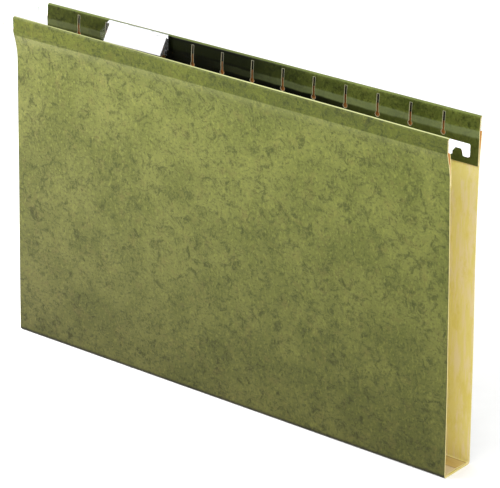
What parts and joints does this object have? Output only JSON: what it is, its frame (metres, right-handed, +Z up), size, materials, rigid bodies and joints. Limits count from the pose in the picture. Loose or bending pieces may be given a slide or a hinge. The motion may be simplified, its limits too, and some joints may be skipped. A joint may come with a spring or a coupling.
{
  "type": "hanging file folder",
  "caption": "Legal-size box-bottom hanging file folder: pressboard covers hemmed over steel rails with plastic hook tips, with a row of tab slots and a clear index tab.",
  "frame": {"origin": "middle of the box bottom's underside, where the folder stands", "axes": "+X along the folder's width, to the right as seen from the front; +Y from the front cover to the back cover, which carries the tab; +Z up"},
  "size_m": [0.4054, 0.0431, 0.2381],
  "materials": {
    "pressboard": "matte",
    "laminate": "satin",
    "board": "matte",
    "adhesive": "satin",
    "rail_steel": "satin",
    "nylon": "satin",
    "vinyl": "gloss",
    "card": "matte"
  },
  "bodies": {
    "base": {"box_bottom": "pressboard", "bottom_liner": "laminate", "bottom_board": "board", "front_crease": "pressboard", "back_crease": "pressboard"},
    "front_cover": {"front_cover": "pressboard", "front_liner": "laminate", "front_hem_glue": "adhesive", "front_rail": "rail_steel", "front_hook_left": "nylon", "front_hook_right": "nylon"},
    "back_cover": {"back_cover": "pressboard", "back_liner": "laminate", "back_hem_glue": "adhesive", "back_rail": "rail_steel", "back_hook_left": "nylon", "back_hook_right": "nylon"},
    "tab": {"tab_holder": "vinyl"},
    "insert": {"tab_insert": "card"}
  },
  "joints": [
    {"name": "front_cover_fold", "type": "hinge", "parent": "base", "child": "front_cover", "pos_m": [0, -0.01395, 0.00035], "axis": [1, 0, 0], "range_deg": [-2.5, 88]},
    {"name": "back_cover_fold", "type": "hinge", "parent": "base", "child": "back_cover", "pos_m": [0, 0.01395, 0.00035], "axis": [-1, 0, 0], "range_deg": [-2.5, 84]},
    {"name": "tab_pull", "type": "slide", "parent": "back_cover", "child": "tab", "axis": [0, -0.9959, 0.0906], "range_m": [0, 0.005]},
    {"name": "insert_slide", "type": "slide", "parent": "tab", "child": "insert", "axis": [1, 0, 0], "range_m": [-0.05, 0.05]}
  ]
}
